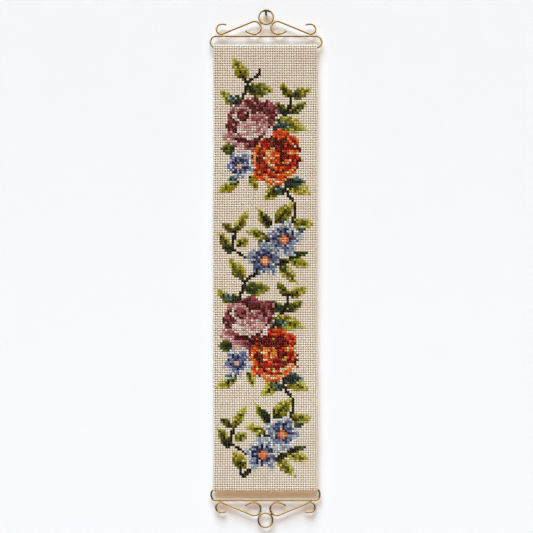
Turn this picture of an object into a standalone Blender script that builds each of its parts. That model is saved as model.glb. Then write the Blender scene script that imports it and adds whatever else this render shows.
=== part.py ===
"""Cross-stitched bell-pull on brass scroll fittings, hung by its ring from a black wall hook.

Metres, +Z up. The wall is the plane Y = 0 and the hanging is in front of it, towards -Y.
The origin is in the middle of the end of the hook's peg, where the peg meets the wall.
"""

import math
from collections import namedtuple

import bmesh
import bpy
from mathutils import Vector

# Clearances and stock
GAP = 0.0003
MERGE = 0.00001
WIRE_RADIUS = 0.0012
WIRE_SIDES_RESOLUTION = 3
ARC_STEP_DEG = 15
PLANE_Y = -0.0060

# Wall hook
PEG_WIDTH = 0.0026
PEG_HEIGHT = 0.0040
PEG_EDGE_RADIUS = 0.0006
PEG_EDGE_STEPS = 3
LIP_THICKNESS = 0.0012
LIP_RISE = 0.0020
LIP_FROM_DEG = 50
LIP_TO_DEG = 118

# Rings and rods
RING_RADIUS = 0.0089
RING_STEPS = 32
RING_SIDES = 10
ROD_RADIUS = 0.0023
ROD_BORE_RADIUS = 0.0016
ROD_HALF_LENGTH = 0.0600
ROD_SIDES = 20
PRONG_END = 0.0500

# Canvas band
CLOTH_LENGTH = 0.5570
CLOTH_WIDTH = 0.1300
CLOTH_THICKNESS = 0.0014
CLOTH_CENTRE_X = -0.0008
SIDE_HEM_WIDTH = 0.0090
HEM_EDGE = 0.0004
SLEEVE_RADIUS = 0.0029
SLEEVE_TAPER = 0.0110
SLEEVE_TAIL = 0.0160
SLEEVE_ARC_STEPS = 14
BAND_ROWS = 30
BAND_COLUMNS = 7
CREASE_DEG = 40

# How the band hangs: depths, and turns counted over its whole length
SWAY = 0.0008
SWAY_TURNS = 1.7
SWAY_START = 0.1
RIPPLE = 0.0004
RIPPLE_TURNS = 3.1
RIPPLE_SKEW = 0.22
EDGE_DRIFT = 0.0004
DRIFT_TURNS = 1.2
DRIFT_START = 0.16
NARROWING_TURNS = 3.0
FADE = 0.0600

# One row for each brass fitting; a scroll's two round ends are given by centre and radius
Fitting = namedtuple(
    "Fitting",
    "name up shift ear_x ear_width ear_height inner_x inner_radius outer_x outer_radius",
)
TOP = Fitting("top", 1, 0.0, 0.0622, 0.0071, 0.00717, 0.0143, 0.0079, 0.0556, 0.0061)
BOTTOM = Fitting("bottom", -1, -0.0007, 0.0623, 0.0054, 0.0072, 0.0140, 0.0081, 0.0556, 0.0061)

INNER_END_DEG = -20
INNER_FLARE = 0.45
INNER_FLARE_SWEEP = 70
OUTER_END_DEG = 499
OUTER_FLARE = 0.30
OUTER_FLARE_SWEEP = 65
SLOPE_STEPS = 5

BRASS = (0.78, 0.56, 0.25)
STEEL_BLACK = (0.02, 0.02, 0.02)
CANVAS = (0.80, 0.72, 0.60)


def scroll_centres(fitting):
    """Middle of a scroll's inner and outer rounds, as x and distance beyond the bar's axis."""
    lift = 2 * WIRE_RADIUS + GAP
    inner = Vector((fitting.inner_x, lift + fitting.inner_radius))
    outer = Vector((fitting.outer_x, lift + fitting.outer_radius))
    return inner, outer


def ring_rise(fitting):
    """Distance from the bar's axis to the ring's middle, with the ring seated on both scrolls."""
    inner, _ = scroll_centres(fitting)
    reach = RING_RADIUS + fitting.inner_radius + 2 * WIRE_RADIUS + GAP
    return inner.y + math.sqrt(reach**2 - fitting.inner_x**2)


TOP_RING_Z = PEG_HEIGHT / 2 + GAP - (RING_RADIUS - WIRE_RADIUS)
TOP_BAR_Z = TOP_RING_Z - ring_rise(TOP)
TOP_ROD_Z = TOP_BAR_Z - 2 * TOP.ear_height
ROD_TO_EDGE = ROD_RADIUS + GAP + CLOTH_THICKNESS
CLOTH_TOP_Z = TOP_ROD_Z + ROD_TO_EDGE
SEAM_Y = -SLEEVE_RADIUS
FRONT_Y = SEAM_Y - CLOTH_THICKNESS
BACK_Y = SEAM_Y + CLOTH_THICKNESS
CLOTH_BOTTOM_Z = CLOTH_TOP_Z - CLOTH_LENGTH
BOTTOM_ROD_Z = CLOTH_BOTTOM_Z + ROD_TO_EDGE
BOTTOM_BAR_Z = BOTTOM_ROD_Z - 2 * BOTTOM.ear_height
BOTTOM_RING_Z = BOTTOM_BAR_Z - ring_rise(BOTTOM)


def clear_scene():
    for item in list(bpy.data.objects):
        bpy.data.objects.remove(item, do_unlink=True)


def make_collection(name):
    collection = bpy.data.collections.new(name)
    bpy.context.scene.collection.children.link(collection)
    return collection


def make_material(name, colour, roughness, metallic):
    material = bpy.data.materials.new(name)
    material.use_nodes = True
    shader = material.node_tree.nodes["Principled BSDF"]
    shader.inputs["Base Color"].default_value = (*colour, 1)
    shader.inputs["Roughness"].default_value = roughness
    shader.inputs["Metallic"].default_value = metallic
    return material


def add_object(name, data, collection, material=None):
    item = bpy.data.objects.new(name, data)
    if material:
        data.materials.append(material)
    collection.objects.link(item)
    return item


def arc(centre, radius, start_deg, end_deg, flare=None):
    """Points on an arc, the first and last included; flare(angle) stretches the radius."""
    steps = max(2, round(abs(end_deg - start_deg) / ARC_STEP_DEG))
    points = []
    for i in range(steps + 1):
        degrees = start_deg + (end_deg - start_deg) * i / steps
        reach = radius * (flare(degrees) if flare else 1)
        angle = math.radians(degrees)
        points.append(centre + reach * Vector((math.cos(angle), math.sin(angle))))
    return points


def scroll_points(fitting):
    """Centreline of the right-hand scroll: a round, a straight slope across, a round back.

    The slope is the inner common tangent of the two circles. Both free ends open out a little.
    """
    inner, outer = scroll_centres(fitting)
    across = outer - inner
    heading = math.degrees(math.atan2(across.y, across.x))
    lean = math.degrees(math.acos((fitting.inner_radius + fitting.outer_radius) / across.length))
    leave = heading + lean - 360
    join = heading + lean + 180

    def inner_flare(degrees):
        share = max(0, degrees - INNER_END_DEG + INNER_FLARE_SWEEP) / INNER_FLARE_SWEEP
        return 1 + INNER_FLARE * share**2

    def outer_flare(degrees):
        share = max(0, degrees - OUTER_END_DEG + OUTER_FLARE_SWEEP) / OUTER_FLARE_SWEEP
        return 1 + OUTER_FLARE * share**2

    first = arc(inner, fitting.inner_radius, INNER_END_DEG, leave, inner_flare)
    last = arc(outer, fitting.outer_radius, join, OUTER_END_DEG, outer_flare)
    slope = [first[-1].lerp(last[0], i / SLOPE_STEPS) for i in range(1, SLOPE_STEPS)]
    return first + slope + last


def bar_points(fitting):
    """Centreline of a bar: prong, ear, straight bar, ear, prong, with the bar's axis at height 0."""
    ear = arc(Vector((0, 0)), 1, -90, 90)
    right = [
        Vector((fitting.ear_x + p.x * fitting.ear_width, (p.y - 1) * fitting.ear_height))
        for p in ear
    ]
    prong = Vector((PRONG_END, -2 * fitting.ear_height))
    half = [prong] + right
    return half + [Vector((-p.x, p.y)) for p in reversed(half)]


def make_wire(name, points, bar_z, fitting, collection, material):
    """A round wire of brass on flat points (x, distance beyond the bar), in the fitting's plane."""
    curve = bpy.data.curves.new(name, "CURVE")
    curve.dimensions = "3D"
    curve.bevel_depth = WIRE_RADIUS
    curve.bevel_resolution = WIRE_SIDES_RESOLUTION
    curve.use_fill_caps = True
    spline = curve.splines.new("POLY")
    spline.points.add(len(points) - 1)
    for slot, point in zip(spline.points, points):
        slot.co = (point.x, 0, fitting.up * point.y, 1)
    item = add_object(name, curve, collection, material)
    item.location = (fitting.shift, PLANE_Y, bar_z)
    return item


def make_ring(name, centre_x, centre_z, collection, material):
    bpy.ops.mesh.primitive_torus_add(
        major_radius=RING_RADIUS,
        minor_radius=WIRE_RADIUS,
        major_segments=RING_STEPS,
        minor_segments=RING_SIDES,
        location=(centre_x, PLANE_Y, centre_z),
        rotation=(math.radians(90), 0, 0),
    )
    ring = bpy.context.object
    ring.name = name
    ring.data.materials.append(material)
    ring.data.shade_smooth()
    for home in list(ring.users_collection):
        home.objects.unlink(ring)
    collection.objects.link(ring)
    return ring


def make_rod(name, centre_x, centre_z, collection, material):
    """A straight tube along X: a wall outline turned about its own axis by a Screw modifier."""
    mesh = bpy.data.meshes.new(name)
    outline = [
        (ROD_RADIUS, 0, ROD_HALF_LENGTH),
        (ROD_RADIUS, 0, -ROD_HALF_LENGTH),
        (ROD_BORE_RADIUS, 0, -ROD_HALF_LENGTH),
        (ROD_BORE_RADIUS, 0, ROD_HALF_LENGTH),
    ]
    mesh.from_pydata(outline, [(0, 1), (1, 2), (2, 3), (3, 0)], [])
    rod = add_object(name, mesh, collection, material)
    rod.location = (centre_x, PLANE_Y, centre_z)
    rod.rotation_euler = (0, math.radians(90), 0)
    screw = rod.modifiers.new("Turn", "SCREW")
    screw.axis = "Z"
    screw.angle = math.radians(360)
    screw.steps = ROD_SIDES
    screw.render_steps = ROD_SIDES
    screw.use_merge_vertices = True
    screw.merge_threshold = MERGE
    return rod


def make_fitting(fitting, bar_z, rod_z, ring_z, collection, brass):
    """Bar, two scrolls, ring and rod of one end."""
    make_wire(f"{fitting.name}_bar", bar_points(fitting), bar_z, fitting, collection, brass)
    right = scroll_points(fitting)
    left = [Vector((-p.x, p.y)) for p in right]
    for side, points in (("left", left), ("right", right)):
        make_wire(f"{fitting.name}_scroll_{side}", points, bar_z, fitting, collection, brass)
    make_ring(f"{fitting.name}_ring", fitting.shift, ring_z, collection, brass)
    make_rod(f"{fitting.name}_rod", fitting.shift, rod_z, collection, brass)


def make_hook(collection, cutters, material):
    """Peg from the wall through the ring, with a curved lip standing up in front of the ring."""
    peg_end = PLANE_Y - WIRE_RADIUS - GAP - LIP_THICKNESS
    body = bmesh.new()
    bmesh.ops.create_cube(body, size=1)
    bmesh.ops.scale(body, vec=(PEG_WIDTH, -peg_end, PEG_HEIGHT), verts=body.verts)
    bmesh.ops.translate(body, vec=(0, peg_end / 2, 0), verts=body.verts)
    long_edges = [e for e in body.edges if abs(e.verts[0].co.y - e.verts[1].co.y) > GAP]
    bmesh.ops.bevel(
        body,
        geom=long_edges,
        offset=PEG_EDGE_RADIUS,
        segments=PEG_EDGE_STEPS,
        profile=0.5,
        affect="EDGES",
    )
    mesh = bpy.data.meshes.new("wall_hook")
    body.to_mesh(mesh)
    body.free()
    hook = add_object("wall_hook", mesh, collection, material)

    outline = bpy.data.curves.new("hook_lip", "CURVE")
    outline.dimensions = "2D"
    outline.fill_mode = "BOTH"
    outline.extrude = LIP_THICKNESS / 2
    middle = Vector((0, TOP_RING_Z))
    inside = RING_RADIUS - WIRE_RADIUS - GAP - LIP_RISE / 2
    points = arc(middle, inside + LIP_RISE, LIP_FROM_DEG, LIP_TO_DEG)
    points += arc(middle, inside, LIP_TO_DEG, LIP_FROM_DEG)
    spline = outline.splines.new("POLY")
    spline.points.add(len(points) - 1)
    spline.use_cyclic_u = True
    for slot, point in zip(spline.points, points):
        slot.co = (point.x, point.y, 0, 1)
    flat = add_object("hook_lip_outline", outline, cutters)
    flat.location = (0, peg_end + LIP_THICKNESS / 2, 0)
    flat.rotation_euler = (math.radians(90), 0, 0)
    lip = mesh_from(flat, "hook_lip", cutters)

    union = hook.modifiers.new("Lip", "BOOLEAN")
    union.operation = "UNION"
    union.object = lip
    return hook


def mesh_from(source, name, collection):
    """A welded mesh object in place of a curve object, kept as a guide."""
    bpy.context.view_layer.update()
    evaluated = source.evaluated_get(bpy.context.evaluated_depsgraph_get())
    mesh = bpy.data.meshes.new_from_object(evaluated)
    shape = bmesh.new()
    shape.from_mesh(mesh)
    bmesh.ops.remove_doubles(shape, verts=shape.verts, dist=MERGE)
    bmesh.ops.recalc_face_normals(shape, faces=shape.faces)
    shape.to_mesh(mesh)
    shape.free()
    item = bpy.data.objects.new(name, mesh)
    item.matrix_world = source.matrix_world
    item.hide_render = True
    item.display_type = "WIRE"
    collection.objects.link(item)
    bpy.data.objects.remove(source, do_unlink=True)
    return item


def sleeve_outline(axis_z, up):
    """One sleeve's cut face, as (y, z) points: its bore and its outside, back to front.

    The front hangs straight from the front of the round. The back slants from the round's
    back to the front layer, where it is sewn down.
    """
    lean = 2 * math.atan(SLEEVE_RADIUS / SLEEVE_TAPER)
    outside = SLEEVE_RADIUS + CLOTH_THICKNESS
    bore = [(SEAM_Y, axis_z - up * SLEEVE_TAPER)]
    outer = []
    for i in range(SLEEVE_ARC_STEPS + 1):
        angle = -lean + (math.pi + lean) * i / SLEEVE_ARC_STEPS
        y, z = math.cos(angle), math.sin(angle)
        bore.append((y * SLEEVE_RADIUS, axis_z + up * z * SLEEVE_RADIUS))
        outer.append((y * outside, axis_z + up * z * outside))
    drop = (outside - BACK_Y * math.cos(lean)) / math.sin(lean)
    outer.insert(0, (BACK_Y, axis_z - up * drop))
    outer.append((FRONT_Y, axis_z - up * drop))
    return bore, outer


def cloth_section(shape):
    """The band's whole cut face at its left edge, as faces in the YZ plane."""
    slack = SLEEVE_RADIUS - ROD_RADIUS - GAP
    ends = []
    for axis_z, up in ((TOP_ROD_Z - slack, 1), (BOTTOM_ROD_Z + slack, -1)):
        bore, outer = sleeve_outline(axis_z, up)
        inner = [shape.verts.new((0, y, z)) for y, z in bore]
        inner.append(inner[0])
        rim = [shape.verts.new((0, y, z)) for y, z in outer]
        for i in range(len(rim) - 1):
            shape.faces.new((inner[i], inner[i + 1], rim[i + 1], rim[i]))
        shape.faces.new((inner[0], rim[0], rim[-1]))
        ends.append((rim[0], rim[-1]))
    back, front = ends[0]
    for z in band_rows(back.co.z, ends[1][0].co.z):
        next_back = shape.verts.new((0, BACK_Y, z))
        next_front = shape.verts.new((0, FRONT_Y, z))
        shape.faces.new((back, front, next_front, next_back))
        back, front = next_back, next_front
    shape.faces.new((back, front, ends[1][1], ends[1][0]))


def band_rows(start_z, end_z):
    """Heights between the two sleeves, with a pair close together at the end of each tail."""
    top_tail = TOP_ROD_Z - SLEEVE_TAIL
    bottom_tail = BOTTOM_ROD_Z + SLEEVE_TAIL
    step = (bottom_tail - top_tail) / BAND_ROWS
    middle = [top_tail + step * i for i in range(1, BAND_ROWS)]
    rows = [top_tail, top_tail - HEM_EDGE] + middle + [bottom_tail + HEM_EDGE, bottom_tail]
    return [z for z in rows if end_z < z < start_z]


def band_columns():
    """Places across the band, with a pair close together at the inner edge of each side hem."""
    half = CLOTH_WIDTH / 2
    inside = half - SIDE_HEM_WIDTH
    middle = [inside * (2 * i / BAND_COLUMNS - 1) for i in range(1, BAND_COLUMNS)]
    return [-half, -inside, -inside + HEM_EDGE] + middle + [inside - HEM_EDGE, inside, half]


def fade(z):
    """0 at the sleeves, 1 once FADE away from them, eased."""
    near = min(TOP_ROD_Z - z, z - BOTTOM_ROD_Z) / FADE
    share = min(1, max(0, near))
    return share * share * (3 - 2 * share)


def wave(turns):
    return math.sin(2 * math.pi * turns)


def hang(point):
    """Moves a point of the flat band to where it hangs: a slow sway, a ripple, uneven edges."""
    x, y, z = point
    run = (CLOTH_TOP_Z - z) / CLOTH_LENGTH
    across = x / (CLOTH_WIDTH / 2)
    ease = fade(z)
    sway = SWAY * wave(SWAY_TURNS * run + SWAY_START)
    ripple = RIPPLE * wave(RIPPLE_TURNS * run + RIPPLE_SKEW * across)
    cup = -RIPPLE * across**2
    drift = EDGE_DRIFT * wave(DRIFT_TURNS * run + DRIFT_START)
    narrowing = EDGE_DRIFT * across * wave(NARROWING_TURNS * run) / 2
    shifted = x + CLOTH_CENTRE_X + (drift + narrowing) * ease
    return (shifted, y + PLANE_Y + (sway + ripple + cup) * ease, z)


def make_cloth(collection, material):
    """The canvas band: its cut face carried across the width, thinned between hems and tails."""
    shape = bmesh.new()
    cloth_section(shape)
    columns = band_columns()
    bmesh.ops.translate(shape, vec=(columns[0], 0, 0), verts=shape.verts)
    faces = list(shape.faces)
    for i in range(1, len(columns)):
        grown = bmesh.ops.extrude_face_region(shape, geom=faces, use_keep_orig=True)["geom"]
        if i > 1:
            bmesh.ops.delete(shape, geom=faces, context="FACES_ONLY")
        verts = [g for g in grown if isinstance(g, bmesh.types.BMVert)]
        faces = [g for g in grown if isinstance(g, bmesh.types.BMFace)]
        bmesh.ops.translate(shape, vec=(columns[i] - columns[i - 1], 0, 0), verts=verts)
    inside = CLOTH_WIDTH / 2 - SIDE_HEM_WIDTH - HEM_EDGE / 2
    top_tail = TOP_ROD_Z - SLEEVE_TAIL - HEM_EDGE / 2
    bottom_tail = BOTTOM_ROD_Z + SLEEVE_TAIL + HEM_EDGE / 2
    for vert in shape.verts:
        behind = vert.co.y > SEAM_Y + MERGE
        if behind and abs(vert.co.x) < inside and bottom_tail < vert.co.z < top_tail:
            vert.co.y = SEAM_Y
        vert.co = hang(vert.co)
    bmesh.ops.recalc_face_normals(shape, faces=shape.faces)
    mesh = bpy.data.meshes.new("canvas_band")
    shape.to_mesh(mesh)
    shape.free()
    mesh.shade_smooth()
    mesh.set_sharp_from_angle(angle=math.radians(CREASE_DEG))
    return add_object("canvas_band", mesh, collection, material)


def main():
    clear_scene()
    parts = make_collection("bell_pull")
    cutters = make_collection("bell_pull_guides")
    brass = make_material("brass", BRASS, 0.3, 1)
    black = make_material("blackened_steel", STEEL_BLACK, 0.45, 0.6)
    canvas = make_material("canvas", CANVAS, 0.9, 0)
    make_cloth(parts, canvas)
    make_fitting(TOP, TOP_BAR_Z, TOP_ROD_Z, TOP_RING_Z, parts, brass)
    make_fitting(BOTTOM, BOTTOM_BAR_Z, BOTTOM_ROD_Z, BOTTOM_RING_Z, parts, brass)
    make_hook(parts, cutters, black)


main()
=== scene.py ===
"""Looks of the cross-stitched bell-pull: woven canvas, stitched roses, brass scrolls, hook.

Metres, +Z up. The wall is the plane Y = 0, and the hanging is in front of it, towards -Y.
"""

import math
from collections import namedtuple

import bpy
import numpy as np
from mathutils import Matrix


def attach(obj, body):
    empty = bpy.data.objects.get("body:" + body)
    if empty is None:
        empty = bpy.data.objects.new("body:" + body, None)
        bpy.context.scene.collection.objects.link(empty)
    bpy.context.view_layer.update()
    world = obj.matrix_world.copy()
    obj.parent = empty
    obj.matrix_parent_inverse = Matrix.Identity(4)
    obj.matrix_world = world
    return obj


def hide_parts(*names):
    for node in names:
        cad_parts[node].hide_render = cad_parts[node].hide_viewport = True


bl_info = {
    "name": "Cross-stitched bell-pull",
    "version": (1, 0, 0),
    "blender": (4, 5, 0),
    "location": "3D View > Sidebar > Bell-pull",
    "description": "Dresses the packed bell-pull with woven canvas, cross stitches and brass",
    "category": "Object",
}

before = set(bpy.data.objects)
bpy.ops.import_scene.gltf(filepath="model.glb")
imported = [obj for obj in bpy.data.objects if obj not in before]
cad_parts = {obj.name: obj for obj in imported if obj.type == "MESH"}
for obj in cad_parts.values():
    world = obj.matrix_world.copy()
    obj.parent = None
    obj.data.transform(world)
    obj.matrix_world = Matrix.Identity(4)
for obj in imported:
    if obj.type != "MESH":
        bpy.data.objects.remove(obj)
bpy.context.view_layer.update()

# Sizes that the solids have too
GAP = 0.0003
WIRE_RADIUS = 0.0012
PLANE_Y = -0.0060
RING_RADIUS = 0.0089
ROD_RADIUS = 0.0023
PRONG_END = 0.0500
CLOTH_LENGTH = 0.5570
CLOTH_WIDTH = 0.1300
CLOTH_THICKNESS = 0.0014
CLOTH_CENTRE_X = -0.0008
SLEEVE_RADIUS = 0.0029
SLEEVE_TAPER = 0.0110
SLEEVE_TAIL = 0.0160
PEG_HEIGHT = 0.0040

# How the band hangs, as in the solids: depths, and turns counted over its whole length
SWAY = 0.0008
SWAY_TURNS = 1.7
SWAY_START = 0.1
RIPPLE = 0.0004
RIPPLE_TURNS = 3.1
RIPPLE_SKEW = 0.22
EDGE_DRIFT = 0.0004
DRIFT_TURNS = 1.2
DRIFT_START = 0.16
NARROWING_TURNS = 3.0
FADE = 0.0600

# One row for each brass fitting, as in the solids
Fitting = namedtuple(
    "Fitting",
    "name up shift ear_x ear_width ear_height inner_x inner_radius outer_x outer_radius",
)
TOP = Fitting("top", 1, 0.0, 0.0622, 0.0071, 0.00717, 0.0143, 0.0079, 0.0556, 0.0061)
BOTTOM = Fitting("bottom", -1, -0.0007, 0.0623, 0.0054, 0.0072, 0.0140, 0.0081, 0.0556, 0.0061)
INNER_END_DEG = -20
INNER_FLARE = (0.45, 70)
OUTER_END_DEG = 499
OUTER_FLARE = (0.30, 65)
WIRE_STEP = 2 * WIRE_RADIUS + GAP
WIRE_SIDES = 16
RING_STEPS = 72
END_ROUNDING = 0.35
END_RINGS = np.array([(0.7, 0.8), (1.0, 0.45)])
SOLDER_LENGTH = 0.0036
SOLDER_WIDTH = 0.0024
SOLDER_DEPTH_SHARE = 0.8
SOLDER_RINGS = 9
SOLDER_RING_GAP_MM = 0.4
SOLDER_END_ANGLE = 0.08
SOLDER_SIDES = 12

# The canvas: 44 squares across and 191 down, closer together towards the bottom
COLUMNS = 44
HEM_COLUMNS = 3
CHART_ROWS = 191
FIRST_ROW = -8
LAST_ROW = 200
ROW_START = 0.00188
ROW_PITCH = 0.0030049
ROW_CLOSING = 0.0000005135
FOLD_RADIUS = 0.0007
FOLD_RINGS = 6
EDGE_IN = 0.00125
BEND_RADIUS = 0.0050

PITCH = CLOTH_WIDTH / COLUMNS
FLAT_HALF = CLOTH_WIDTH / 2 - EDGE_IN
PATH_STEPS = 24000
MILLIMETRE = 0.001

# Small unevenness, in metres, and the seeds of its random draws
BUNDLE_WANDER = 0.00003
STITCH_WANDER = 0.00004
WEAVE_SEED = 11
STITCH_SEED = 23
DESIGN_SEED = 7

# The stage: each sun's name, where it shines from and the rays it is hidden from
SUNS = [
    ("key", (-0.10, -0.53, 0.87), "visible_glossy"),
    ("low", (0.25, -1.0, -0.6), "visible_glossy"),
    ("front", (-0.15, -0.60, 0.78), "visible_diffuse"),
]
BACK_LIGHT_PLACE = (0.3, 1.4, 0.4)
BACK_LIGHT_SIZE = 1.2
LENS_MM = 85
SENSOR_MM = 36
BACKDROP_Y = 0.0006
BACKDROP_TOP_Z = 1.6
BACKDROP_HALF_WIDTH = 3.0
COVE_RADIUS = 0.35
COVE_STEPS = 24
FLOOR_Z = -2.4
FLOOR_FRONT_Y = -0.9


def reach_beyond_bar(fitting):
    """Distance from a bar's axis to the middle of the ring that is seated on both scrolls."""
    reach = RING_RADIUS + fitting.inner_radius + WIRE_STEP
    return WIRE_STEP + fitting.inner_radius + math.sqrt(reach**2 - fitting.inner_x**2)


TOP_RING_Z = PEG_HEIGHT / 2 + GAP - (RING_RADIUS - WIRE_RADIUS)
TOP_BAR_Z = TOP_RING_Z - reach_beyond_bar(TOP)
TOP_ROD_Z = TOP_BAR_Z - 2 * TOP.ear_height
ROD_TO_EDGE = ROD_RADIUS + GAP + CLOTH_THICKNESS
CLOTH_TOP_Z = TOP_ROD_Z + ROD_TO_EDGE
BOTTOM_ROD_Z = CLOTH_TOP_Z - CLOTH_LENGTH + ROD_TO_EDGE
BOTTOM_BAR_Z = BOTTOM_ROD_Z - 2 * BOTTOM.ear_height
BOTTOM_RING_Z = BOTTOM_BAR_Z - reach_beyond_bar(BOTTOM)


# Settings


def scalar(name, description, default, **limits):
    return bpy.props.FloatProperty(name=name, description=description, default=default, **limits)


def length(name, description, default):
    return scalar(name, description, default, min=0, precision=5, unit="LENGTH")


def share(name, description, default):
    return scalar(name, description, default, min=0, max=1, subtype="FACTOR")


def softness(name, description, degrees):
    return scalar(name, description, math.radians(degrees), subtype="ANGLE")


def colour(name, description, default):
    return bpy.props.FloatVectorProperty(
        name=name, description=description, default=default, min=0, max=1, size=3, subtype="COLOR"
    )


class CanvasSettings(bpy.types.PropertyGroup):
    warp_width: length("Warp width", "Width of one bundle of warp ends", 0.00242)
    weft_width: length("Weft width", "Width of one bundle of weft ends", 0.00242)
    thickness: length("Bundle thickness", "Thickness of one bundle at its middle", 0.00060)
    crimp: length("Crimp", "How far a bundle rises and falls over its crossings", 0.00034)
    ground: length("Ground thickness", "Thickness of the sheet between the bundles", 0.00020)
    # Painted shade: the canvas yarn is coloured darker where it dips between squares, as the shade in
    # the grooves of the weave.
    groove_shade: share("Groove", "How dark the yarn is where it dips, from 0, black, to 1", 0.72)
    yarn_colour: colour("Yarn", "Colour of the canvas yarn", (0.93, 0.815, 0.66))
    # Painted shade: the sheet under the bundles is coloured dark, as the shade down in the holes, seen
    # from in front and from behind.
    pit_shade_colour: colour("Pits", "Colour down in the holes of the weave", (0.130, 0.080, 0.048))
    back_shade_colour: colour("Back", "Colour of the canvas behind the bundles", (0.20, 0.15, 0.10))


class StitchSettings(bpy.types.PropertyGroup):
    strand_width: length("Strand width", "Width of the stitching yarn laid flat", 0.00155)
    strand_thickness: length("Strand thickness", "Thickness of the stitching yarn", 0.00044)
    unevenness: share("Unevenness", "How much one stitch differs from the next", 0.10)


class BrassSettings(bpy.types.PropertyGroup):
    brass_colour: colour("Brass", "Colour of the clean brass wire", (0.88, 0.65, 0.33))
    tarnish_colour: colour("Tarnish", "Colour where the brass has darkened", (0.34, 0.17, 0.06))
    black_colour: colour("Hook", "Colour of the hook's black paint", (0.012, 0.012, 0.013))


class StageSettings(bpy.types.PropertyGroup):
    camera_distance: length("Camera distance", "From the camera to the hanging's front", 1.5655)
    camera_x: scalar("Camera X", "Where the camera looks, across", 0.0006, unit="LENGTH")
    camera_z: scalar("Camera Z", "Where the camera looks, up", -0.3161, unit="LENGTH")
    backdrop_colour: colour("Backdrop", "Colour of the backdrop", (0.90, 0.90, 0.90))
    key_strength: scalar("Key light", "Strength of the soft light above", 5.72, min=0)
    key_colour: colour("Key colour", "Colour of the soft light above", (0.64, 0.82, 0.98))
    key_softness: softness("Key softness", "How wide the soft light above looks", 38)
    low_strength: scalar("Low light", "Strength of the warm light from below", 1.2, min=0)
    low_colour: colour("Low colour", "Colour of the warm light from below", (1.00, 0.48, 0.09))
    low_softness: softness("Low softness", "How wide the warm light from below looks", 90)
    front_strength: scalar("Front light", "Strength of the light that the brass mirrors", 2.5, min=0)
    front_colour: colour("Front colour", "Colour of the light that the brass mirrors", (1.0, 0.93, 0.80))
    front_softness: softness("Front softness", "How wide the light that the brass mirrors looks", 100)
    room_strength: scalar("Room light", "Strength of the light from all round", 0.07, min=0)
    room_colour: colour("Room colour", "Colour of the light from all round", (1.00, 0.87, 0.70))
    back_power: scalar("Back light", "Power of the light behind", 20.0, min=0, unit="POWER")


SETTINGS = {
    "bellpull_canvas": CanvasSettings,
    "bellpull_stitch": StitchSettings,
    "bellpull_brass": BrassSettings,
    "bellpull_stage": StageSettings,
}


# Shader building


class Wire:
    """A socket of a node, with Python's operators making Math nodes."""

    def __init__(self, tree, socket):
        self.tree = tree
        self.socket = socket

    def math(self, operation, *terms, clamp=False):
        made = self.tree.node(
            "ShaderNodeMath", {"operation": operation, "use_clamp": clamp}, dict(enumerate(terms))
        )
        return made("Value")

    def __add__(self, other):
        return self.math("ADD", self, other)

    def __sub__(self, other):
        return self.math("SUBTRACT", self, other)

    def __mul__(self, other):
        return self.math("MULTIPLY", self, other)

    def __rsub__(self, other):
        return self.math("SUBTRACT", other, self)

    __radd__ = __add__
    __rmul__ = __mul__

    def sine(self):
        return self.math("SINE", self)

    def clamped(self):
        return self.math("ADD", self, 0, clamp=True)


class Finish:
    """A material's node tree with a Principled shader, and the one method that makes nodes."""

    def __init__(self, name):
        self.material = bpy.data.materials.new(name)
        self.material.use_nodes = True
        self.nodes = self.material.node_tree.nodes
        self.links = self.material.node_tree.links
        self.nodes.clear()
        self.output = self.nodes.new("ShaderNodeOutputMaterial")

    def node(self, kind, settings=None, inputs=None):
        """Makes a node: its settings first, then each input's value or link. Call it for an output."""
        made = self.nodes.new(kind)
        for name, value in (settings or {}).items():
            if name == "stops":
                ramp = made.color_ramp
                while len(ramp.elements) < len(value):
                    ramp.elements.new(0.5)
                for element, (place, tone) in zip(ramp.elements, value):
                    element.position = place
                    element.color = (*tone, 1)
            else:
                setattr(made, name, value)
        for name, value in (inputs or {}).items():
            socket = made.inputs[name]
            if isinstance(value, Wire):
                self.links.new(value.socket, socket)
            elif isinstance(value, tuple) and len(value) == 3 and socket.type == "RGBA":
                socket.default_value = (*value, 1)
            else:
                socket.default_value = value
        return lambda output: Wire(self, made.outputs[output])

    def noise(self, scale, detail, place):
        inputs = {"Vector": place, "Scale": scale, "Detail": detail}
        return self.node("ShaderNodeTexNoise", {}, inputs)("Fac")

    def place(self):
        return self.node("ShaderNodeTexCoord")("Object")

    def stretched(self, vector, scale):
        return self.node("ShaderNodeMapping", {}, {"Vector": vector, "Scale": scale})("Vector")

    def parts(self, vector):
        split = self.node("ShaderNodeSeparateXYZ", {}, {"Vector": vector})
        return split("X"), split("Y"), split("Z")

    def mix(self, factor, first, second, blend="MIX"):
        """A mix of two colours; the sockets of a colour Mix node go by number."""
        settings = {"data_type": "RGBA", "blend_type": blend, "clamp_factor": True}
        made = self.node("ShaderNodeMix", settings, {0: factor, 6: first, 7: second})
        return made(2)

    def bump(self, height, strength, distance):
        inputs = {"Height": height, "Strength": strength, "Distance": distance}
        return self.node("ShaderNodeBump", {}, inputs)("Normal")

    def principled(self, inputs):
        shader = self.node("ShaderNodeBsdfPrincipled", {}, inputs)("BSDF")
        self.links.new(shader.socket, self.output.inputs["Surface"])
        return self.material


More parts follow.
